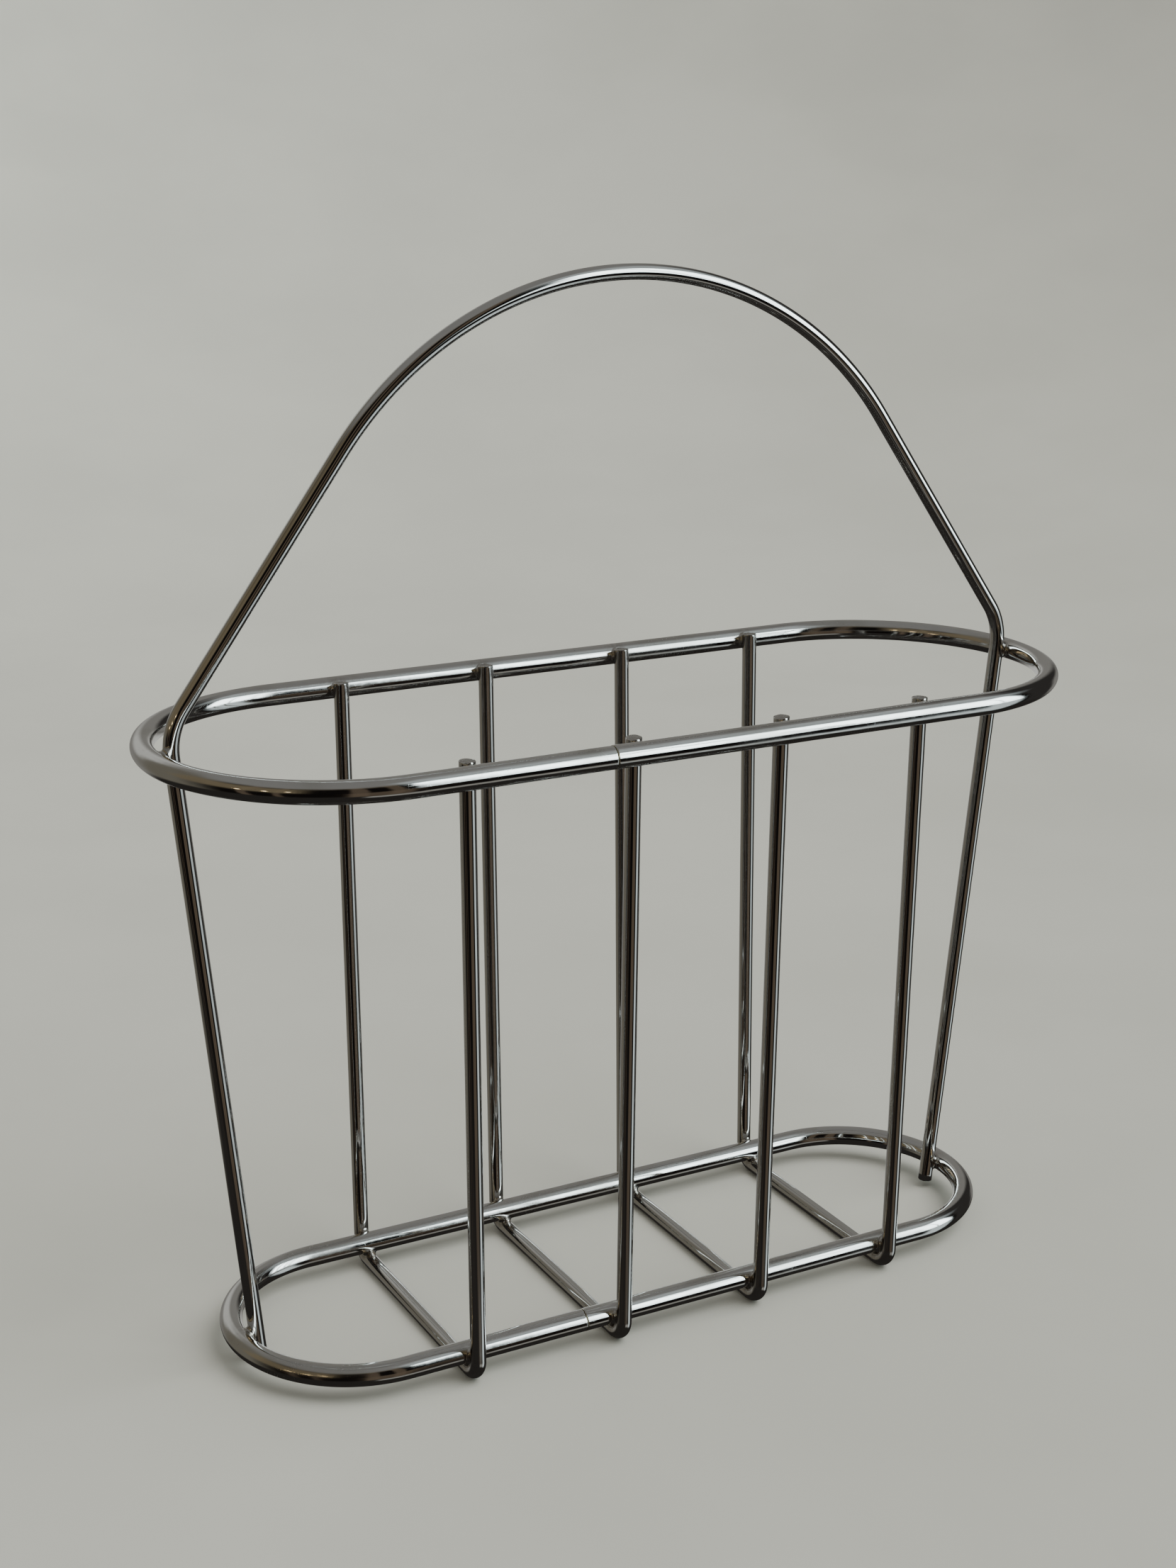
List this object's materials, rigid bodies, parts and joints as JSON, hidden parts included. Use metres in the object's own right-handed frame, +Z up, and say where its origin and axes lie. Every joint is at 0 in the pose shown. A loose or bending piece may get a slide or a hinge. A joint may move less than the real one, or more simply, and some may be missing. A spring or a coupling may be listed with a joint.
{
  "type": "magazine rack",
  "caption": "Chromed steel magazine rack: two obround tube rings held apart by U-shaped rods, with a tall arched carrying handle.",
  "frame": {"origin": "on the floor, under the middle of the two rings", "axes": "+X along the rack towards the viewer's right when the ring joints face the viewer, +Y from front to back, +Z up"},
  "size_m": [0.445, 0.171, 0.4715],
  "materials": {
    "ring_chrome": "bright chrome plate, lightly hazed and scratched with age",
    "rod_chrome": "bright chrome plate with fine drawing lines along the rods",
    "braze": "plated over braze, duller and slightly rippled",
    "bare_steel": "bare turned steel, hidden inside the tube"
  },
  "bodies": {
    "root": {"upper_ring": "ring_chrome", "lower_ring": "ring_chrome", "upper_ring_spigot": "bare_steel", "lower_ring_spigot": "bare_steel", "handle_rod": "rod_chrome", "braze_ring_seams": "braze", "u_rod_1": "rod_chrome", "u_rod_2": "rod_chrome", "u_rod_3": "rod_chrome", "u_rod_4": "rod_chrome", "braze_upper_front": "braze", "braze_upper_back": "braze", "braze_foot_front": "braze", "braze_foot_back": "braze", "braze_handle_upper": "braze", "braze_handle_lower": "braze"}
  },
  "joints": []
}
